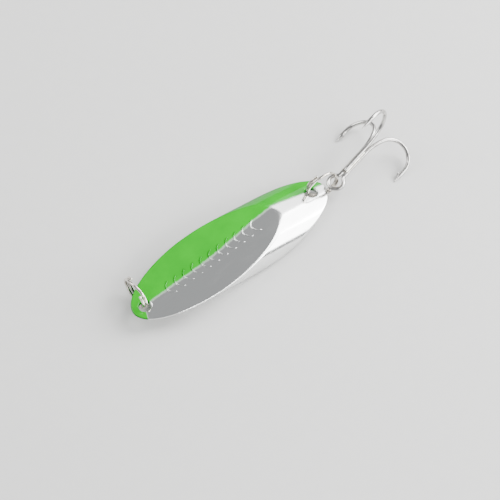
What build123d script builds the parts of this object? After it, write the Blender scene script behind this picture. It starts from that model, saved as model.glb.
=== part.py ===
from build123d import *
import os
from math import asin, atan, atan2, cos, degrees, hypot, radians, sin, sqrt, tan

# Casting spoon lure, lying on a table. Millimetres, +Z up, nose towards -X.
# The origin is on the table, at the middle of the whole lure's box.
# Rigid bodies: the cast blank, the nose ring, the tail ring and the treble hook.
os.makedirs("parts", exist_ok=True)

# --- blank: a slanted slice of an oval bar, its two ends rounded in plan ---
blank_length = 50.0
blank_width = 14.6
blank_thickness = 4.0
crease_from_middle = 11.9       # mid-length to the tip of the flat face's curved end
cut_overrun = 1.6               # how far the slanted cut would run on past a rounded end
end_curve_length = 20.6         # each end is rounded in plan as half of an ellipse
end_curve_side_room = 0.2       # the ellipse is this much wider than the bar on each side
tail_tilt = 2.0                 # degrees: the tail lies up on its ring
blank_middle_x = -9.52          # mid-length of the blank, from the origin
blank_middle_y = -0.18

# --- holes for the rings ---
nose_hole_setback = 2.7         # hole centre to the nose end
nose_hole_radius = 1.25
tail_hole_setback = 3.7
tail_hole_radius = 1.3

# --- raised scale marks down the middle of the upper face ---
scale_count = 11
scale_spacing = 2.2
scale_radius = 1.45
scale_line_width = 0.3
scale_height = 0.15
scale_row_middle = -4.2         # middle of the row, from mid-length

# --- split rings: two turns of wire side by side, with a crossover between the wire's ends ---
ring_mean_radius = 3.3
ring_wire_diameter = 0.56
ring_turn_gap = 0.06
crossover_angle = 64.0
ring_end_gap_angle = 3.0

# --- nose ring: stands up on the far rim of the nose ---
nose_ring_heading = 84.0        # plan direction from the hole to the ring's middle
nose_ring_lean = 4.0
nose_ring_inner_crossing = -0.2  # hole axis to where the ring's wire crosses the blank
nose_ring_height = 0.9          # ring's middle above the blank's upper face
nose_ring_crossover_at = 100.0

# --- tail ring: stands on the table, through the tail hole and round the tail's end ---
tail_ring_heading = -16.0
tail_ring_reach = 2.45          # tail hole axis to the ring's middle, in plan
tail_ring_pivot_reach = 0.98    # tail hole axis to the line the ring swings about
tail_ring_pivot_height = 0.37   # that line above the blank's underside
table_clearance = 0.02
tail_ring_crossover_at = 75.0

# --- treble hook ---
hook_wire_diameter = 0.85
shank_wire_gap = 0.05
eye_outer_diameter = 4.0
eye_neck_radius = 1.0
eye_on_ring_angle = -15.0       # where the eye sits round the ring, below its outermost point
treble_heading = 8.0
straight_shank_end = 9.0        # from the eye's middle
flare_radius = 12.0
flare_angle = 25.0
bend_radius = 3.9
point_setback = 9.2             # from the eye's middle back to the three points
point_length = 1.8
point_tip_radius = 0.05
barb_length = 1.1
barb_rise = 0.42
barb_foot = 0.3
barb_root_depth = 0.2           # barb corners inside the wire, from its centre line
barb_tip_depth = 0.15
barb_thickness = 0.36
braze_radius = 0.74
braze_start = 3.0
braze_end = 8.8
hook_spacing = 120.0            # degrees between neighbouring hooks

# ---------------------------------------------------------------- blank
slant_offset = (blank_length / 2 + cut_overrun - crease_from_middle) / 2
cut_half_length = blank_length / 2 + cut_overrun - slant_offset
slant = atan(blank_thickness / (2 * slant_offset))
bar_half_height = cut_half_length * sin(slant)

# The blank rests on the tip of its underside's curved end, and its tail is up on the tail ring.
tilt = radians(tail_tilt)
blank_plane = Plane(
    origin=(blank_middle_x, blank_middle_y, crease_from_middle * sin(tilt)),
    x_dir=(cos(tilt), 0, sin(tilt)),
    z_dir=(-sin(tilt), 0, cos(tilt)),
)
upper_face_plane = blank_plane.offset(blank_thickness)
bar_middle = blank_plane.from_local_coords(Vector(0, 0, blank_thickness / 2))
bar_axis = blank_plane.x_dir * cos(slant) - blank_plane.z_dir * sin(slant)
bar_plane = Plane(origin=bar_middle, x_dir=blank_plane.y_dir, z_dir=bar_axis)

nose_hole_x = nose_hole_setback - blank_length / 2
tail_hole_x = blank_length / 2 - tail_hole_setback
end_centre_x = blank_length / 2 - end_curve_length
half_width = blank_width / 2
end_half_width = half_width + end_curve_side_room

with BuildPart() as spoon_blank:
    with BuildSketch(blank_plane):
        with BuildLine():
            EllipticalCenterArc((end_centre_x, 0), end_curve_length, end_half_width, -90, arc_size=180)
            Line((end_centre_x, end_half_width), (-end_centre_x, end_half_width))
            EllipticalCenterArc((-end_centre_x, 0), end_curve_length, end_half_width, 90, arc_size=180)
            Line((-end_centre_x, -end_half_width), (end_centre_x, -end_half_width))
        make_face()
    extrude(amount=blank_thickness)
    with BuildSketch(bar_plane.offset(-blank_length)):
        Ellipse(half_width, bar_half_height)
    extrude(amount=2 * blank_length, mode=Mode.INTERSECT)
    with BuildSketch(blank_plane):
        with Locations((nose_hole_x, 0)):
            Circle(nose_hole_radius)
        with Locations((tail_hole_x, 0)):
            Circle(tail_hole_radius)
    extrude(amount=blank_thickness, mode=Mode.SUBTRACT)
    with BuildSketch(upper_face_plane):
        with Locations((scale_row_middle, 0)):
            with GridLocations(scale_spacing, 0, scale_count, 1):
                with BuildLine():
                    scale_curve = CenterArc((0, 0), scale_radius, 100, 160)
                SlotArc(scale_curve, scale_line_width)
    extrude(amount=scale_height)
spoon_blank.part.label = "spoon_blank"
export_step(spoon_blank.part, "parts/spoon_blank.step")

# ---------------------------------------------------------------- split rings
turn_pitch = ring_wire_diameter + ring_turn_gap
ring_wire_radius = ring_wire_diameter / 2


def ring_point(angle, height):
    """A point on the ring's centre line, in the ring's own plane."""
    turn = radians(angle)
    return (ring_mean_radius * cos(turn), ring_mean_radius * sin(turn), height)


def ring_tangent(ring_plane, angle):
    turn = radians(angle)
    return ring_plane.y_dir * cos(turn) - ring_plane.x_dir * sin(turn)


def split_ring(ring_plane, crossover_at):
    """Two side-by-side turns of wire, joined by an S-shaped crossover centred at an angle."""
    first = crossover_at - crossover_angle / 2
    last = crossover_at + crossover_angle / 2
    turn_angle = 360 - crossover_angle - ring_end_gap_angle
    low = -turn_pitch / 2
    high = turn_pitch / 2
    first_tangent = ring_tangent(ring_plane, first)
    last_tangent = ring_tangent(ring_plane, last)
    with BuildLine(ring_plane) as route:
        CenterArc((0, 0, low), ring_mean_radius, first - turn_angle, turn_angle)
        TangentArc(ring_point(first, low), ring_point(crossover_at, 0), tangent=first_tangent)
        TangentArc(ring_point(last, high), ring_point(crossover_at, 0), tangent=last_tangent * -1)
        CenterArc((0, 0, high), ring_mean_radius, last, turn_angle)
    wire_end = ring_plane.from_local_coords(Vector(*ring_point(first - turn_angle, low)))
    with BuildPart() as ring:
        with BuildSketch(Plane(origin=wire_end, z_dir=ring_tangent(ring_plane, first - turn_angle))):
            Circle(ring_wire_radius)
        sweep(path=route.wire())
    return ring


# Nose ring: its wire crosses the blank inside the hole and again outside the rim.
nose_turn = radians(nose_ring_heading)
nose_out = blank_plane.x_dir * cos(nose_turn) + blank_plane.y_dir * sin(nose_turn)
nose_across = blank_plane.z_dir.cross(nose_out)
lean = radians(nose_ring_lean)
nose_up = blank_plane.z_dir * cos(lean) + nose_across * sin(lean)
nose_rise = nose_ring_height / cos(lean)
nose_reach = nose_ring_inner_crossing + sqrt(ring_mean_radius**2 - nose_rise**2)
nose_hole_top = upper_face_plane.from_local_coords(Vector(nose_hole_x, 0, 0))
nose_ring_middle = nose_hole_top + nose_out * nose_reach + nose_up * nose_rise
nose_ring_plane = Plane(origin=nose_ring_middle, x_dir=nose_out, z_dir=nose_out.cross(nose_up))

nose_split_ring = split_ring(nose_ring_plane, nose_ring_crossover_at)
nose_split_ring.part.label = "nose_split_ring"
export_step(nose_split_ring.part, "parts/nose_split_ring.step")

# Tail ring: upright on the table.
tail_turn = radians(tail_ring_heading)
tail_out = Vector(cos(tail_turn), sin(tail_turn), 0)
tail_hole_foot = blank_plane.from_local_coords(Vector(tail_hole_x, 0, 0))
tail_ring_middle_z = ring_mean_radius + ring_wire_radius + table_clearance
tail_ring_middle = Vector(tail_hole_foot.X, tail_hole_foot.Y, tail_ring_middle_z) + tail_out * tail_ring_reach
tail_ring_plane = Plane(origin=tail_ring_middle, x_dir=tail_out, z_dir=tail_out.cross(Vector(0, 0, 1)))

# It swings about a line just inside the hole's tail side, square to the ring.
pivot_foot = blank_plane.from_local_coords(Vector(tail_hole_x + tail_ring_pivot_reach, 0, tail_ring_pivot_height))
pivot_run = pivot_foot.X - tail_ring_middle.X
tail_ring_pivot = Vector(pivot_foot.X, tail_ring_middle.Y + pivot_run * tan(tail_turn), pivot_foot.Z)

tail_split_ring = split_ring(tail_ring_plane, tail_ring_crossover_at)
tail_split_ring.part.label = "tail_split_ring"
export_step(tail_split_ring.part, "parts/tail_split_ring.step")

# ---------------------------------------------------------------- treble hook
# Each shank wire stands this far from the treble's axis, so the three lie in a triangle.
hook_wire_radius = hook_wire_diameter / 2
bundle_radius = (hook_wire_diameter + shank_wire_gap) / sqrt(3)
eye_mean_radius = (eye_outer_diameter - hook_wire_diameter) / 2
neck_half_width = bundle_radius * cos(radians(hook_spacing / 4))
axis_above_eye = bundle_radius * sin(radians(hook_spacing / 4))
neck_start = sqrt((eye_mean_radius + eye_neck_radius) ** 2 - (neck_half_width + eye_neck_radius) ** 2)
neck_angle = degrees(atan2(neck_start, neck_half_width + eye_neck_radius))

# The bend's centre follows from the flare before it; the straight point leg runs back from it.
flare = radians(flare_angle)
bend_centre_s = straight_shank_end + (flare_radius - bend_radius) * sin(flare)
bend_centre_r = bundle_radius + flare_radius - (flare_radius - bend_radius) * cos(flare)
leg_r = bend_centre_r + bend_radius

# The treble lies on its two lower hooks, which sets how far its shank slopes up.
# They touch the table where the wire begins to taper.
eye_turn = radians(eye_on_ring_angle)
eye_middle = tail_ring_middle + tail_out * (ring_mean_radius * cos(eye_turn))
eye_middle = eye_middle + Vector(0, 0, ring_mean_radius * sin(eye_turn))
lower_point_drop = leg_r * sin(radians(hook_spacing / 4)) - axis_above_eye
point_base = point_setback + point_length
point_room = eye_middle.Z - hook_wire_radius - table_clearance
shank_slope = atan2(lower_point_drop, point_base) - asin(point_room / hypot(lower_point_drop, point_base))

treble_turn = radians(treble_heading)
treble_flat = Vector(cos(treble_turn), sin(treble_turn), 0)
treble_axis = treble_flat * cos(shank_slope) + Vector(0, 0, sin(shank_slope))
treble_up = Vector(0, 0, cos(shank_slope)) - treble_flat * sin(shank_slope)
eye_plane = Plane(origin=eye_middle, x_dir=treble_axis, z_dir=treble_up)
treble_side = eye_plane.y_dir
shank_origin = eye_middle + treble_up * axis_above_eye


def hook_plane(angle):
    """Local x runs along the treble's axis from the eye, local y out towards one hook's point."""
    turn = radians(angle)
    outward = treble_side * cos(turn) + treble_up * sin(turn)
    return Plane(origin=shank_origin, x_dir=treble_axis, z_dir=treble_axis.cross(outward))


def hook_route(plane, shank_start):
    """Centre line of one hook, from its shank round the bend to the base of its point."""
    with BuildLine(plane) as route:
        Line((shank_start, bundle_radius), (straight_shank_end, bundle_radius))
        flare_curve = JernArc((straight_shank_end, bundle_radius), (1, 0), flare_radius, flare_angle)
        JernArc(flare_curve @ 1, flare_curve % 1, bend_radius, 180 - flare_angle)
        Line((bend_centre_s, leg_r), (point_base, leg_r))
    return route.line


def point_base_plane(plane):
    """Stands where the tapered point begins, looking towards the tip."""
    base_middle = plane.from_local_coords(Vector(point_base, leg_r, 0))
    return Plane(origin=base_middle, x_dir=plane.z_dir, z_dir=plane.x_dir * -1)


def hook_point(plane):
    """Tapered point with a barb on its inner side."""
    with BuildPart() as point:
        with BuildSketch(point_base_plane(plane)):
            Circle(hook_wire_radius)
        with BuildSketch(point_base_plane(plane).offset(point_length)):
            Circle(point_tip_radius)
        loft()
        with BuildSketch(plane):
            with BuildLine():
                Polyline(
                    (point_base + barb_foot, leg_r - barb_root_depth),
                    (point_base + barb_foot, leg_r - hook_wire_radius - barb_rise),
                    (point_base - barb_length, leg_r - barb_tip_depth),
                    close=True,
                )
            make_face()
        extrude(amount=barb_thickness / 2, both=True)
    return point.part


lower_far = hook_plane(-hook_spacing / 4)
lower_near = hook_plane(180 + hook_spacing / 4)
upper = hook_plane(90)

neck_centre_y = neck_half_width + eye_neck_radius

# One wire makes two hooks and the eye between them.
with BuildPart() as hook_pair_wire:
    with BuildLine() as pair_route:
        add(hook_route(lower_far, neck_start))
        with BuildLine(eye_plane):
            CenterArc((neck_start, neck_centre_y), eye_neck_radius, 270, -neck_angle)
            CenterArc((0, 0), eye_mean_radius, 90 - neck_angle, 180 + 2 * neck_angle)
            CenterArc((neck_start, -neck_centre_y), eye_neck_radius, 90 + neck_angle, -neck_angle)
        add(hook_route(lower_near, neck_start))
    with BuildSketch(point_base_plane(lower_far)):
        Circle(hook_wire_radius)
    sweep(path=pair_route.wire())
    add(hook_point(lower_far))
    add(hook_point(lower_near))
hook_pair_wire.part.label = "hook_pair_wire"
export_step(hook_pair_wire.part, "parts/hook_pair_wire.step")

# The third hook is a wire of its own, brazed into the groove between the other two shanks.
with BuildPart() as hook_third_wire:
    with BuildLine() as third_route:
        add(hook_route(upper, braze_start))
    with BuildSketch(point_base_plane(upper)):
        Circle(hook_wire_radius)
    sweep(path=third_route.wire())
    add(hook_point(upper))
hook_third_wire.part.label = "hook_third_wire"
export_step(hook_third_wire.part, "parts/hook_third_wire.step")

shank_plane = Plane(origin=shank_origin, x_dir=treble_side, z_dir=treble_axis)
with BuildPart() as hook_braze:
    with BuildSketch(shank_plane.offset(braze_start)):
        Circle(braze_radius)
        with PolarLocations(bundle_radius, 3, start_angle=90):
            Circle(hook_wire_radius, mode=Mode.SUBTRACT)
    extrude(amount=braze_end - braze_start)
hook_braze.part.label = "hook_braze"
export_step(hook_braze.part, "parts/hook_braze.step")

# ---------------------------------------------------------------- joint places
print("slant", round(degrees(slant), 2), "shank slope", round(degrees(shank_slope), 2))
print("nose ring swings about", nose_hole_top, "along", blank_plane.z_dir)
print("tail ring turns about", tail_ring_pivot, "along", tail_ring_plane.z_dir)
print("treble swings about the upright through", eye_middle)
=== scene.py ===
import bmesh
import bpy
import numpy as np
from math import asin, atan, atan2, cos, hypot, pi, radians, sin, sqrt
from mathutils import Matrix, Vector


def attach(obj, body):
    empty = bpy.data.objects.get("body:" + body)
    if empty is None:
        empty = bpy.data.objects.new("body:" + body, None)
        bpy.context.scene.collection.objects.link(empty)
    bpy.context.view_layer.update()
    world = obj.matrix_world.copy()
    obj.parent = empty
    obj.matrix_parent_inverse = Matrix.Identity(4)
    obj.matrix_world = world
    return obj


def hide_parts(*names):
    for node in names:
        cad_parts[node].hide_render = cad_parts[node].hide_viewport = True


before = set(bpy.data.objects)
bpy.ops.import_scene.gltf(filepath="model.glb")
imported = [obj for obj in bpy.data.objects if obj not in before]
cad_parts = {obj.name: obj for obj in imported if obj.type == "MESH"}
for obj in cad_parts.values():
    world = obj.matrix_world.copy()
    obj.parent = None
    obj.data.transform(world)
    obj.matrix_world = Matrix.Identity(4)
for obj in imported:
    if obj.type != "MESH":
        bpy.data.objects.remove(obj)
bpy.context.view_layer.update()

mm = 0.001  # sizes below are in millimetres and angles in degrees, unless a note says metres


def addObject(name, data):
    made = bpy.data.objects.new(name, data)
    bpy.context.scene.collection.objects.link(made)
    return made


def evaluatedMesh(source):  # the object's mesh with its modifiers applied
    graph = bpy.context.evaluated_depsgraph_get()
    return bpy.data.meshes.new_from_object(source.evaluated_get(graph))


class Sock:  # a node's output that takes plain arithmetic
    def __init__(self, nodes, out):
        self.nodes, self.out = nodes, out

    def __add__(self, other): return self.nodes.math("ADD", self, other)
    def __radd__(self, other): return self.nodes.math("ADD", other, self)
    def __sub__(self, other): return self.nodes.math("SUBTRACT", self, other)
    def __rsub__(self, other): return self.nodes.math("SUBTRACT", other, self)
    def __mul__(self, other): return self.nodes.math("MULTIPLY", self, other)
    def __rmul__(self, other): return self.nodes.math("MULTIPLY", other, self)
    def __truediv__(self, other): return self.nodes.math("DIVIDE", self, other)
    def __rtruediv__(self, other): return self.nodes.math("DIVIDE", other, self)

    def smooth(self, low, high):  # 0 below low, 1 above high
        t = self.nodes.math("ADD", (self - low) / (high - low), 0.0, clamp=True)
        return t * t * (3.0 - 2.0 * t)


class Nodes:  # adds nodes to one tree
    def __init__(self, tree):
        self.tree = tree

    def node(self, kind, settings=None, output=0, **sockets):  # Base_Color is a name, i6 a number
        made = self.tree.nodes.new(kind)
        for key, value in (settings or {}).items():
            setattr(made, key, value)
        for key, value in sockets.items():
            socket = made.inputs[int(key[1:]) if key[1:].isdigit() else key.replace("_", " ")]
            if isinstance(value, Sock):
                self.tree.links.new(value.out, socket)
            else:
                socket.default_value = value
        return Sock(self, made.outputs[output]) if made.outputs else None

    def math(self, operation, first, second, clamp=False):
        settings = {"operation": operation, "use_clamp": clamp}
        return self.node("ShaderNodeMath", settings, i0=first, i1=second)


class Shader(Nodes):  # one material and its nodes
    def __init__(self, name):
        self.material = bpy.data.materials.new(name)
        self.material.use_nodes = True
        super().__init__(self.material.node_tree)
        self.tree.nodes.clear()
        self.place = self.node("ShaderNodeTexCoord", output=3)  # Object coordinates, in metres

    def split(self, vector):
        made = self.node("ShaderNodeSeparateXYZ", Vector=vector).out.node
        return [Sock(self, out) for out in made.outputs]

    def speckle(self, sizes, detail=3.0, roughness=0.5):  # sizes are repeats per metre, X Y Z
        stretched = self.node("ShaderNodeMapping", Vector=self.place, Scale=sizes)
        return self.node("ShaderNodeTexNoise", Vector=stretched, Scale=1.0, Detail=detail,
                         Roughness=roughness)

    def mixColour(self, factor, first, second):
        return self.node("ShaderNodeMix", {"data_type": "RGBA"}, 2, i0=factor, i6=first, i7=second)

    def bump(self, height, distance, strength):
        return self.node("ShaderNodeBump", Height=height, Distance=distance, Strength=strength)

    def surface(self, **sockets):
        shaded = self.node("ShaderNodeBsdfPrincipled", **sockets)
        self.node("ShaderNodeOutputMaterial", Surface=shaded)
        return self.material


# blank: a slanted slice of an oval bar; its tail is tilted up by the ring under it
blank = {
    "length": 50.0, "width": 14.6, "thickness": 4.0,
    "creaseFromMiddle": 11.9, "cutOverrun": 1.6,
    "endCurveLength": 20.6, "endSideRoom": 0.2,
    "noseHoleSetback": 2.7, "noseHoleRadius": 1.25,
    "tailHoleSetback": 3.7, "tailHoleRadius": 1.3,
    "middleX": -9.52, "middleY": -0.18, "tailTilt": 2.0,
    "rimRound": 0.2, "holeRound": 0.22,
    "meshStep": 0.17, "settleTurns": 12, "settleShare": 0.9,
}
tilt = radians(blank["tailTilt"])
lureAlong = np.array([cos(tilt), 0.0, sin(tilt)])
lureSide = np.array([0.0, 1.0, 0.0])
lureUp = np.array([-sin(tilt), 0.0, cos(tilt)])
lureAxes = np.array([lureAlong, lureSide, lureUp])
blankMiddle = np.array([blank["middleX"], blank["middleY"],
                        blank["creaseFromMiddle"] * sin(tilt)])  # underside, at mid-length


def lurePoint(x, y, z):  # blank's own millimetres to the frame's
    return blankMiddle + np.array([x, y, z]) @ lureAxes


paint = {
    # the second green is painted shade, used on steep faces
    "green": (0.008, 0.33, 0.004, 1), "greenPaintedShade": (0.003, 0.16, 0.006, 1),
    "roughness": 0.32, "coat": 0.45, "coatRoughness": 0.05, "specular": 0.02,
    "borderOffset": 0.05, "borderSoft": 0.38, "borderRagged": 0.5,
    "riseFrom": -8.0, "riseTo": 12.0, "riseBy": 1.35,  # border's swing to the far side
    "fallTo": 21.5, "fallBy": 1.0,  # and back over the tail
    "wrapFrom": -25.2, "wrapTo": -21.8, "wrapBy": 5.0,  # green right round the nose
    "footFrom": 0.03, "footTo": 0.3,  # height where the green starts
    "cloudShade": 0.3, "shadeFrom": 0.55, "shadeTo": 0.93,  # painted shade: deeper green on steep faces that turn away from the light; the cloud is random tone
}
plating = {
    "colour": (0.86, 0.87, 0.86, 1), "dull": (0.80, 0.81, 0.80, 1),
    "roughness": 0.13, "scratch": 0.05, "wearRoughness": 0.06, "scratchRelief": 0.12,
}
skinGrain = {  # repeats per metre; the long ones run along the blank
    "soft": (700.0,) * 3, "mist": (9000.0,) * 3, "cloud": (180.0,) * 3,
    "wear": (260.0, 900.0, 900.0), "hairlines": (400.0, 14000.0, 14000.0),
    "orangePeel": (1200.0,) * 3, "peelRelief": 0.4, "bumpDepth": 0.00002, "bumpStrength": 0.4,
}


def blankFinish():
    s = Shader("painted blank")
    x, y, z = (axis / mm - middle for axis, middle in zip(s.split(s.place), blankMiddle))
    along = x * cos(tilt) + z * sin(tilt)
    height = z * cos(tilt) - x * sin(tilt)
    # the airbrushed border runs near the middle line, away from it to the tail, and back
    rise = along.smooth(paint["riseFrom"], paint["riseTo"]) * paint["riseBy"]
    fall = along.smooth(paint["riseTo"], paint["fallTo"]) * paint["fallBy"]
    noseWrap = 1.0 - along.smooth(paint["wrapFrom"], paint["wrapTo"])
    border = rise - fall + paint["borderOffset"] - noseWrap * paint["wrapBy"]
    ragged = s.speckle(skinGrain["soft"], 2.0) + s.speckle(skinGrain["mist"], 2.0) - 1.0
    edge = y - border + ragged * paint["borderRagged"]
    foot = height.smooth(paint["footFrom"], paint["footTo"])
    painted = edge.smooth(-paint["borderSoft"], paint["borderSoft"]) * foot
    cloud = s.speckle(skinGrain["cloud"]).smooth(0.3, 0.7)
    # painted shade: the green goes deeper where the face turns away from up, as if in shade, and
    # random cloud varies it
    normal = s.node("ShaderNodeTexCoord", output=1)
    facingUp = s.split(normal)[2].smooth(paint["shadeFrom"], paint["shadeTo"])
    shade = facingUp * (1.0 - cloud * paint["cloudShade"])
    green = s.mixColour(shade, paint["greenPaintedShade"], paint["green"])
    wear = s.speckle(skinGrain["wear"], 4.0).smooth(0.35, 0.75)
    metal = s.mixColour(wear, plating["colour"], plating["dull"])
    hairlines = s.speckle(skinGrain["hairlines"], 4.0, 0.6)
    bare = 1.0 - painted
    scratched = (hairlines - 0.5) * plating["scratch"] + wear * plating["wearRoughness"]
    rough = (plating["roughness"] + scratched) * bare + painted * paint["roughness"]
    relief = (hairlines * bare * plating["scratchRelief"]
              + s.speckle(skinGrain["orangePeel"], 2.0) * skinGrain["peelRelief"])
    return s.surface(
        Base_Color=s.mixColour(painted, metal, green), Metallic=bare, Roughness=rough,
        Coat_Weight=painted * facingUp * paint["coat"], Coat_Roughness=paint["coatRoughness"],
        Specular_IOR_Level=paint["specular"],
        Normal=s.bump(relief, skinGrain["bumpDepth"], skinGrain["bumpStrength"]))


blankLook = blankFinish()


def roundMeet(a, b, radius):  # rounded corner where two bodies meet
    outside = np.hypot(np.maximum(a + radius, 0), np.maximum(b + radius, 0))
    return np.minimum(-radius, np.maximum(a, b)) + outside


def ellipseGap(u, v, a, b):  # signed distance to an ellipse, close to its line
    slope = 2 * np.sqrt((u / a**2) ** 2 + (v / b**2) ** 2) + 1e-9
    return ((u / a) ** 2 + (v / b) ** 2 - 1) / slope


halfLength, halfWidth = blank["length"] / 2, blank["width"] / 2
slantOffset = (halfLength + blank["cutOverrun"] - blank["creaseFromMiddle"]) / 2
slant = atan(blank["thickness"] / (2 * slantOffset))
barHalfHeight = (halfLength + blank["cutOverrun"] - slantOffset) * sin(slant)


def blankRule(p):  # negative inside; p in the blank's own millimetres
    x, y, z = p.T
    slab = np.maximum(z - blank["thickness"], -z)
    across = x * sin(slant) + (z - blank["thickness"] / 2) * cos(slant)
    bar = ellipseGap(y, across, halfWidth, barHalfHeight)
    pastEnd = np.maximum(np.abs(x) - halfLength + blank["endCurveLength"], 0)
    plan = ellipseGap(pastEnd, y, blank["endCurveLength"], halfWidth + blank["endSideRoom"])
    body = roundMeet(slab, roundMeet(bar, plan, blank["rimRound"]), blank["rimRound"])
    noseHole = blank["noseHoleRadius"] - np.hypot(x + halfLength - blank["noseHoleSetback"], y)
    tailHole = blank["tailHoleRadius"] - np.hypot(x - halfLength + blank["tailHoleSetback"], y)
    return roundMeet(roundMeet(body, noseHole, blank["holeRound"]), tailHole, blank["holeRound"])


def makeBlank():  # the CAD blank's skin, drawn onto a version of its rule with rounded rims
    work = addObject("blankWork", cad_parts["spoon_blank"].data.copy())
    remesh = work.modifiers.new("remesh", "REMESH")
    remesh.mode = "VOXEL"
    remesh.voxel_size = blank["meshStep"] * mm
    mesh = evaluatedMesh(work)
    bpy.data.objects.remove(work)
    flat = np.empty(len(mesh.vertices) * 3)
    mesh.vertices.foreach_get("co", flat)
    p = (flat.reshape(-1, 3) / mm - blankMiddle) @ lureAxes.T
    reach = 1e-4
    for turn in range(blank["settleTurns"]):  # slide each point onto the rule's surface
        slope = np.stack([(blankRule(p + reach * e) - blankRule(p - reach * e)) / (2 * reach)
                          for e in np.eye(3)], axis=1)
        travel = blankRule(p) / np.maximum((slope**2).sum(axis=1), 0.05)
        p = p - slope * travel[:, None] * blank["settleShare"]
    mesh.vertices.foreach_set("co", ((p @ lureAxes + blankMiddle) * mm).ravel())
    mesh.shade_smooth()
    mesh.update()
    mesh.materials.clear()
    mesh.materials.append(blankLook)
    piece = addObject("spoonBlankSkin", mesh)
    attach(piece, "blank")
    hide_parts("spoon_blank")
    print("blank skin", len(mesh.polygons), "faces, off the rule by",
          float(np.abs(blankRule(p)).max()))


makeBlank()


def newTree(name, inputs):  # a node maker and the tree's named inputs
    tree = bpy.data.node_groups.new(name, "GeometryNodeTree")
    for way in ("INPUT", "OUTPUT"):
        tree.interface.new_socket("Geometry", in_out=way, socket_type="NodeSocketGeometry")
    for label, kind in inputs.items():
        tree.interface.new_socket(label, in_out="INPUT", socket_type="NodeSocket" + kind)
    nodes = Nodes(tree)
    group = nodes.node("NodeGroupInput").out.node
    return nodes, {out.name: Sock(nodes, out) for out in group.outputs if out.name}


def endTree(nodes, geometry, finish):
    whole = nodes.node("GeometryNodeRealizeInstances", Geometry=geometry)
    finished = nodes.node("GeometryNodeSetMaterial", Geometry=whole, Material=finish)
    nodes.node("NodeGroupOutput", Geometry=finished)
    return nodes.tree


def runTree(tree, source, values, name, body):
    modifier = source.modifiers.new("build", "NODES")
    modifier.node_group = tree
    for item in tree.interface.items_tree:
        if item.in_out == "INPUT" and item.name in values:
            modifier[item.identifier] = values[item.name]
    bpy.context.view_layer.update()
    mesh = evaluatedMesh(source)
    source.modifiers.remove(modifier)
    bpy.data.objects.remove(source)
    piece = addObject(name, mesh)
    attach(piece, body)
    print("made", name, len(mesh.polygons), "faces")
    return piece


def faceOutward(mesh):
    work = bmesh.new()
    work.from_mesh(mesh)
    bmesh.ops.remove_doubles(work, verts=work.verts, dist=1e-8)
    bmesh.ops.recalc_face_normals(work, faces=work.faces)
    work.to_mesh(mesh)
    work.free()


def setInFrame(mesh, axes, origin):  # axes are the piece's own X, Y and Z in the frame
    place = Matrix([Vector(axis) for axis in axes]).transposed().to_4x4()
    place.translation = Vector(origin * mm)
    mesh.transform(place)
    faceOutward(mesh)


# raised crescents in a row along the blank's upper face
scaleRow = {
    "count": 11, "spacing": 2.2, "middle": -4.2, "radius": 1.45, "lineWidth": 0.3, "height": 0.15,
    "arcStart": 100.0, "arcSweep": 160.0, "arcSteps": 26, "lineSides": 12,
}


def scaleTree():
    nodes, given = newTree("scaleMarks", {
        "Count": "Int", "Spacing": "Float", "Mark Radius": "Float", "Line Width": "Float",
        "Height": "Float", "Row Start": "Float", "Finish": "Material"})
    halfLine = given["Line Width"] / 2.0
    arc = nodes.node("GeometryNodeCurveArc", Radius=given["Mark Radius"],
                     Resolution=scaleRow["arcSteps"], Start_Angle=radians(scaleRow["arcStart"]),
                     Sweep_Angle=radians(scaleRow["arcSweep"]))
    section = nodes.node("GeometryNodeCurvePrimitiveCircle", Radius=halfLine,
                         Resolution=scaleRow["lineSides"])
    swept = nodes.node("GeometryNodeCurveToMesh", Curve=arc, Profile_Curve=section, Fill_Caps=True)
    squeeze = nodes.node("ShaderNodeCombineXYZ", X=1.0, Y=1.0, Z=given["Height"] / halfLine)
    mark = nodes.node("GeometryNodeTransform", Geometry=swept, Scale=squeeze)
    row = nodes.node("GeometryNodeMeshLine", Count=given["Count"],
                     Start_Location=nodes.node("ShaderNodeCombineXYZ", X=given["Row Start"]),
                     Offset=nodes.node("ShaderNodeCombineXYZ", X=given["Spacing"]))
    marks = nodes.node("GeometryNodeInstanceOnPoints", Points=row, Instance=mark)
    smooth = nodes.node("GeometryNodeSetShadeSmooth", Geometry=marks)
    return endTree(nodes, smooth, given["Finish"])


def makeScales():
    source = addObject("scaleSource", bpy.data.meshes.new("scaleSource"))
    rowStart = scaleRow["middle"] - scaleRow["spacing"] * (scaleRow["count"] - 1) / 2
    piece = runTree(scaleTree(), source, {
        "Count": scaleRow["count"], "Spacing": scaleRow["spacing"] * mm,
        "Mark Radius": scaleRow["radius"] * mm, "Line Width": scaleRow["lineWidth"] * mm,
        "Height": scaleRow["height"] * mm, "Row Start": rowStart * mm, "Finish": blankLook,
    }, "scaleMarks", "blank")
    setInFrame(piece.data, lureAxes, lurePoint(0, 0, blank["thickness"]))


makeScales()
print("blank built")

# finishes of the wires and the braze; grains are repeats per metre
ringMetal = {"colour": (0.74, 0.70, 0.64, 1), "dark": (0.38, 0.36, 0.32, 1),
             "roughness": 0.12, "mottle": 900.0}
hookMetal = {"colour": (0.66, 0.65, 0.63, 1), "dark": (0.34, 0.33, 0.32, 1),
             "roughness": 0.18, "mottle": 700.0}
brazeMetal = {"colour": (0.66, 0.64, 0.58, 1), "dark": (0.42, 0.40, 0.36, 1),
              "roughness": 0.34, "mottle": 1500.0}
wireGrain = {"grain": 5000.0, "grainRoughness": 0.1, "patchRoughness": 0.1,
             "bumpDepth": 0.00001, "bumpStrength": 0.4}


def wireFinish(name, metal):
    s = Shader(name)
    patches = s.speckle((metal["mottle"],) * 3, 4.0).smooth(0.35, 0.72)
    grain = s.speckle((wireGrain["grain"],) * 3)
    rough = (metal["roughness"] + (grain - 0.5) * wireGrain["grainRoughness"]
             + patches * wireGrain["patchRoughness"])
    return s.surface(Base_Color=s.mixColour(patches, metal["colour"], metal["dark"]),
                     Metallic=1.0, Roughness=rough,
                     Normal=s.bump(grain, wireGrain["bumpDepth"], wireGrain["bumpStrength"]))


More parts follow.
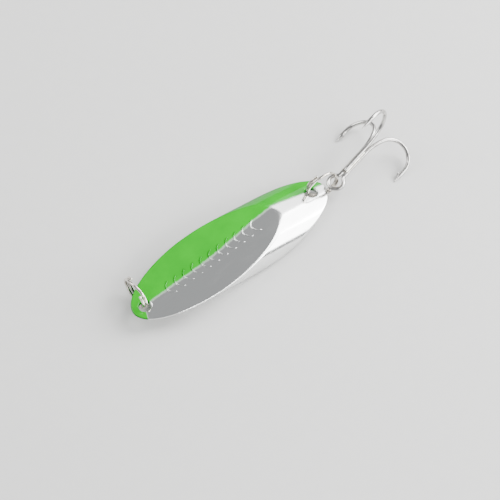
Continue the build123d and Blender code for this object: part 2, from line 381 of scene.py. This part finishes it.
ringLook = wireFinish("nickel ring wire", ringMetal)
hookLook = wireFinish("nickel hook wire", hookMetal)
brazeLook = wireFinish("plated braze", brazeMetal)
print("wire finishes made")


def wireTree():  # sweeps a round wire along the source curve
    nodes, given = newTree("sweptWire", {
        "Wire Radius": "Float", "Sides": "Int", "Finish": "Material"})
    section = nodes.node("GeometryNodeCurvePrimitiveCircle", Radius=given["Wire Radius"],
                         Resolution=given["Sides"])
    swept = nodes.node("GeometryNodeCurveToMesh", Curve=given["Geometry"], Profile_Curve=section,
                       Scale=nodes.node("GeometryNodeInputRadius"), Fill_Caps=True)
    smooth = nodes.node("GeometryNodeSetShadeSmooth", Geometry=swept)
    return endTree(nodes, smooth, given["Finish"])


sweptWire = wireTree()


def sweepWire(name, points, widths, wire, sides, look, body):  # widths are shares of wire
    curve = bpy.data.curves.new(name + "Route", "CURVE")
    curve.dimensions = "3D"
    curve.twist_mode = "MINIMUM"
    spline = curve.splines.new("POLY")
    spline.points.add(len(points) - 1)
    for place, point, width in zip(spline.points, points, widths):
        place.co = (*(point * mm), 1.0)
        place.radius = width
    values = {"Wire Radius": wire / 2 * mm, "Sides": sides, "Finish": look}
    return runTree(sweptWire, addObject(name + "Route", curve), values, name, body)


wireEnd = {"roundShare": 0.22, "faceShare": 0.55}  # length and flat face, as shares of the wire


def endRounding(points, wire, start=True, end=True):  # widths that round the wire's cut ends
    run = np.concatenate([[0], np.cumsum(np.linalg.norm(np.diff(points, axis=0), axis=1))])
    width = np.ones(len(points))
    for distance, wanted in ((run, start), (run[-1] - run, end)):
        if wanted:
            t = np.clip(distance / (wire * wireEnd["roundShare"]), 0, 1)
            bulge = (1 - wireEnd["faceShare"]) * np.sqrt(1 - (1 - t) ** 2)
            width = np.minimum(width, wireEnd["faceShare"] + bulge)
    return width


# split rings: two turns side by side, with a crossover and a gap at the wire's ends
ring = {
    "radius": 3.3, "wire": 0.56, "gap": 0.06, "crossover": 64.0, "endGap": 3.0,
    "sides": 20, "steps": 330, "endSteps": (0.0, 0.6, 1.3, 2.2), "stepsFrom": 4.0,
}
noseRing = {"heading": 84.0, "lean": 4.0, "inner": -0.2, "height": 0.9, "crossoverAt": 100.0}
tailRing = {"heading": -16.0, "reach": 2.45, "clearance": 0.02, "crossoverAt": 75.0}


def ringRoute(middle, out, up, crossoverAt):
    first = crossoverAt - ring["crossover"] / 2
    turn = 360 - ring["crossover"] - ring["endGap"]
    start, end = first - turn, first + ring["crossover"] + turn
    fine = np.array(ring["endSteps"])
    even = np.linspace(start + ring["stepsFrom"], end - ring["stepsFrom"], ring["steps"])
    angles = np.concatenate([start + fine, even, end - fine[::-1]])
    t = np.clip((angles - first) / ring["crossover"], 0, 1)
    sideways = (ring["wire"] + ring["gap"]) * (t * t * (3 - 2 * t) - 0.5)
    a = np.radians(angles)
    circle = ring["radius"] * (np.outer(np.cos(a), out) + np.outer(np.sin(a), up))
    return middle + circle + np.outer(sideways, np.cross(out, up))


def noseRingFrame():  # middle, outward and up
    heading, lean = radians(noseRing["heading"]), radians(noseRing["lean"])
    out = lureAlong * cos(heading) + lureSide * sin(heading)
    up = lureUp * cos(lean) + np.cross(lureUp, out) * sin(lean)
    rise = noseRing["height"] / cos(lean)
    reach = noseRing["inner"] + sqrt(ring["radius"] ** 2 - rise**2)
    top = lurePoint(blank["noseHoleSetback"] - halfLength, 0, blank["thickness"])
    return top + out * reach + up * rise, out, up


def tailRingFrame():  # the ring stands upright on the table
    heading = radians(tailRing["heading"])
    out = np.array([cos(heading), sin(heading), 0.0])
    middle = lurePoint(halfLength - blank["tailHoleSetback"], 0, 0)
    middle[2] = ring["radius"] + ring["wire"] / 2 + tailRing["clearance"]
    return middle + out * tailRing["reach"], out, np.array([0.0, 0.0, 1.0])


def makeRing(name, place, crossoverAt, node, body):
    route = ringRoute(*place, crossoverAt)
    piece = sweepWire(name, route, endRounding(route, ring["wire"]), ring["wire"], ring["sides"],
                      ringLook, body)
    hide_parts(node)


makeRing("noseRingWire", noseRingFrame(), noseRing["crossoverAt"], "nose_split_ring", "nose_ring")
makeRing("tailRingWire", tailRingFrame(), tailRing["crossoverAt"], "tail_split_ring", "tail_ring")
print("rings built")

# treble: one wire makes two hooks and the eye, a second makes the third hook
hook = {
    "wire": 0.85, "gap": 0.05, "eyeOuter": 4.0, "neckRadius": 1.0, "eyeOnRing": -15.0,
    "heading": 8.0, "straightEnd": 9.0, "flareRadius": 12.0, "flareAngle": 25.0,
    "bendRadius": 3.9, "pointSetback": 9.2, "pointLength": 1.8, "tipRadius": 0.06,
    "farAngle": -30.0, "nearAngle": 210.0, "thirdAngle": 90.0, "thirdStart": 3.0, "sides": 24,
}
hookSteps = {"straight": 12, "flare": 14, "bend": 46, "leg": 4, "taper": 16, "neck": 12, "eye": 72}

wireRadius = hook["wire"] / 2
bundleRadius = (hook["wire"] + hook["gap"]) / sqrt(3)  # three wires round the shank's axis
eyeRadius = (hook["eyeOuter"] - hook["wire"]) / 2
neckHalfWidth = bundleRadius * cos(radians(30))
axisAboveEye = bundleRadius * sin(radians(30))
neckOut = neckHalfWidth + hook["neckRadius"]
neckStart = sqrt((eyeRadius + hook["neckRadius"]) ** 2 - neckOut**2)
neckAngle = atan2(neckStart, neckOut)
flare = radians(hook["flareAngle"])
bendAlong = hook["straightEnd"] + (hook["flareRadius"] - hook["bendRadius"]) * sin(flare)
flareOut = bundleRadius + hook["flareRadius"]
bendOut = flareOut - (hook["flareRadius"] - hook["bendRadius"]) * cos(flare)
legOut = bendOut + hook["bendRadius"]
pointBase = hook["pointSetback"] + hook["pointLength"]

# the eye hangs in the ring, and the two lower points come down to the table
tailMiddle, tailOut, tailUp = tailRingFrame()
eyeTurn = radians(hook["eyeOnRing"])
eyeMiddle = tailMiddle + ring["radius"] * (tailOut * cos(eyeTurn) + tailUp * sin(eyeTurn))
drop = legOut * sin(radians(30)) - axisAboveEye
room = eyeMiddle[2] - wireRadius - tailRing["clearance"]
shankSlope = atan2(drop, pointBase) - asin(room / hypot(drop, pointBase))
trebleTurn = radians(hook["heading"])
flatRun = np.array([cos(trebleTurn), sin(trebleTurn), 0.0])
trebleAxis = flatRun * cos(shankSlope) + np.array([0, 0, sin(shankSlope)])
trebleUp = np.array([0, 0, cos(shankSlope)]) - flatRun * sin(shankSlope)
trebleSide = np.cross(trebleUp, trebleAxis)
shankOrigin = eyeMiddle + trebleUp * axisAboveEye


def arcRun(centre, radius, start, end, count):  # without its first point
    a = np.linspace(start, end, count)[1:]
    return np.stack([centre[0] + radius * np.cos(a), centre[1] + radius * np.sin(a)], axis=1)


def straightRun(start, end, out, count):
    return np.stack([np.linspace(start, end, count), np.full(count, out)], axis=1)


def hookPoints(angle, shankStart):  # shank to tip, and the wire's widths
    profile = np.concatenate([  # along the axis, and out from it
        straightRun(shankStart, hook["straightEnd"], bundleRadius, hookSteps["straight"]),
        arcRun((hook["straightEnd"], flareOut), hook["flareRadius"], -pi / 2, -pi / 2 + flare,
               hookSteps["flare"]),
        arcRun((bendAlong, bendOut), hook["bendRadius"], -pi / 2 + flare, pi / 2,
               hookSteps["bend"]),
        straightRun(bendAlong, pointBase, legOut, hookSteps["leg"])[1:],
        straightRun(pointBase, hook["pointSetback"], legOut, hookSteps["taper"])[1:]])
    out = trebleSide * cos(radians(angle)) + trebleUp * sin(radians(angle))
    points = shankOrigin + np.outer(profile[:, 0], trebleAxis) + np.outer(profile[:, 1], out)
    widths = np.ones(len(points))
    tipShare = hook["tipRadius"] / wireRadius
    widths[1 - hookSteps["taper"]:] = np.linspace(1, tipShare, hookSteps["taper"])[1:]
    return points, widths


def eyePoints():  # from the far shank round the eye to the near one
    flat = np.concatenate([
        arcRun((neckStart, neckOut), hook["neckRadius"], -pi / 2, -pi / 2 - neckAngle,
               hookSteps["neck"]),
        arcRun((0, 0), eyeRadius, pi / 2 - neckAngle, 3 * pi / 2 + neckAngle, hookSteps["eye"]),
        arcRun((neckStart, -neckOut), hook["neckRadius"], pi / 2 + neckAngle, pi / 2,
               hookSteps["neck"])[:-1]])
    return eyeMiddle + np.outer(flat[:, 0], trebleAxis) + np.outer(flat[:, 1], trebleSide)


def makeHookWire(name, points, widths, node):
    piece = sweepWire(name, points, widths, hook["wire"], hook["sides"], hookLook, "treble")
    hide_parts(node)


def makeHookPair():
    farPoints, farWidths = hookPoints(hook["farAngle"], neckStart)
    nearPoints, nearWidths = hookPoints(hook["nearAngle"], neckStart)
    eye = eyePoints()
    points = np.concatenate([farPoints[::-1], eye, nearPoints])
    widths = np.concatenate([farWidths[::-1], np.ones(len(eye)), nearWidths])
    makeHookWire("hookPairWire", points, widths, "hook_pair_wire")


def makeThirdHook():
    points, widths = hookPoints(hook["thirdAngle"], hook["thirdStart"])
    widths = widths * endRounding(points, hook["wire"], end=False)
    makeHookWire("hookThirdWire", points, widths, "hook_third_wire")


makeHookPair()
makeThirdHook()

# barbs: one is built along +X on the third hook's leg and copied round the treble's axis
barb = {
    "count": 3, "length": 1.1, "rise": 0.42, "width": 0.34, "foot": 0.3,
    "footDepth": 0.2, "heelDepth": 0.15,  # how far the ends reach into the wire's middle
    "neckShare": 0.45, "lipShare": 0.95, "lipSetback": 0.05, "crownSetback": 0.2,
    "soften": 0.05, "softenSteps": 2,
}


def barbTree():
    nodes, given = newTree("barbsRoundTreble", {"Count": "Int", "Finish": "Material"})
    line = nodes.node("GeometryNodeMeshLine", Count=given["Count"], Offset=(0, 0, 0))
    angle = nodes.node("GeometryNodeInputIndex") * (2 * pi / barb["count"])
    copies = nodes.node("GeometryNodeInstanceOnPoints", Points=line, Instance=given["Geometry"],
                        Rotation=nodes.node("ShaderNodeCombineXYZ", X=angle))
    return endTree(nodes, copies, given["Finish"])


def makeBarbs():
    footEnd, inside = pointBase + barb["foot"], legOut - wireRadius
    outline = [  # along the axis, and out from it
        (footEnd, legOut - barb["footDepth"]),
        (footEnd, inside - barb["rise"] * barb["neckShare"]),
        (footEnd - barb["lipSetback"], inside - barb["rise"] * barb["lipShare"]),
        (footEnd - barb["crownSetback"], inside - barb["rise"]),
        (pointBase - barb["length"], legOut - barb["heelDepth"])]
    sides = (-barb["width"] / 2, barb["width"] / 2)
    vertices = [(along * mm, side * mm, out * mm) for side in sides for along, out in outline]
    n = len(outline)
    faces = [tuple(range(n)), tuple(range(2 * n - 1, n - 1, -1))]
    faces += [(k, k + n, (k + 1) % n + n, (k + 1) % n) for k in range(n)]
    mesh = bpy.data.meshes.new("barbSource")
    mesh.from_pydata(vertices, [], faces)
    mesh.update()
    source = addObject("barbSource", mesh)
    bevel = source.modifiers.new("soften", "BEVEL")
    bevel.width, bevel.segments = barb["soften"] * mm, barb["softenSteps"]
    values = {"Count": barb["count"], "Finish": hookLook}
    piece = runTree(barbTree(), source, values, "hookBarbs", "treble")
    setInFrame(piece.data, (trebleAxis, -trebleSide, trebleUp), shankOrigin)


makeBarbs()
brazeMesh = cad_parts["hook_braze"].data
brazeMesh.materials.clear()
brazeMesh.materials.append(brazeLook)
print("treble built")

table = {"halfSize": 1.5, "colour": (0.62, 0.62, 0.61, 1), "fleck": (0.59, 0.59, 0.58, 1),
         "grain": 350.0, "roughness": 0.75}  # half size in metres


def makeTable():
    s = Shader("pale table")
    colour = s.mixColour(s.speckle((table["grain"],) * 3), table["colour"], table["fleck"])
    size = table["halfSize"]
    mesh = bpy.data.meshes.new("tableTop")
    corners = [(-size, -size, 0.0), (size, -size, 0.0), (size, size, 0.0), (-size, size, 0.0)]
    mesh.from_pydata(corners, [], [(0, 1, 2, 3)])
    mesh.materials.append(s.surface(Base_Color=colour, Roughness=table["roughness"]))
    addObject("tableTop", mesh)


# places and sizes in metres, power in watts
studio = {
    "sky": (0.62, 0.63, 0.64, 1), "skyStrength": 0.70, "aim": (0.005, 0, 0),
    "lamps": {
        "keyLight": {"place": (0.40, -0.06, 0.36), "size": (0.34, 0.46), "power": 6.0},
        "slopeLight": {"place": (0.37, -0.27, 0.20), "size": (0.30, 0.22), "power": 2.6},
        "stripLight": {"place": (0.40, 0.22, 0.28), "size": (0.28, 0.24), "power": 0.75},
        "nearLight": {"place": (0.12, -0.42, 0.22), "size": (0.4, 0.2), "power": 3.0},
        "farLight": {"place": (-0.25, 0.35, 0.40), "size": (0.4, 0.4), "power": 3.0},
    },
}


def softLight(name, place, size, power):
    light = bpy.data.lights.new(name, "AREA")
    light.shape = "RECTANGLE"
    light.size, light.size_y = size
    light.energy = power
    lamp = addObject(name, light)
    lamp.location = place
    aim = Vector(studio["aim"]) - Vector(place)
    lamp.rotation_euler = aim.to_track_quat("-Z", "Y").to_euler()


def makeStudio():
    world = bpy.data.worlds.new("studio")
    bpy.context.scene.world = world
    world.use_nodes = True
    background = world.node_tree.nodes["Background"]
    background.inputs["Color"].default_value = studio["sky"]
    background.inputs["Strength"].default_value = studio["skyStrength"]
    for name, lamp in studio["lamps"].items():
        softLight(name, **lamp)


# place and near limit in metres, heading from +X, dip below level
view = {"place": (-0.13306, -0.13932, 0.27511), "heading": 47.31, "dip": 55.75, "roll": 2.0,
        "lens": 118.8, "sensor": 36.0, "nearLimit": 0.01}


def makeCamera():
    camera = bpy.data.cameras.new("camera")
    camera.lens, camera.sensor_width = view["lens"], view["sensor"]
    camera.clip_start = view["nearLimit"]
    heading, dip, roll = (radians(view[key]) for key in ("heading", "dip", "roll"))
    flat = Vector((cos(heading), sin(heading), 0.0))
    level = Vector((sin(heading), -cos(heading), 0.0))
    forward = flat * cos(dip) - Vector((0, 0, sin(dip)))
    upright = flat * sin(dip) + Vector((0, 0, cos(dip)))
    right, up = level * cos(roll) + upright * sin(roll), upright * cos(roll) - level * sin(roll)
    turned = Matrix((right, up, -forward)).transposed().to_4x4()
    turned.translation = Vector(view["place"])
    eye = addObject("camera", camera)
    eye.matrix_world = turned
    bpy.context.scene.camera = eye


makeTable()
makeStudio()
makeCamera()
print("studio made")
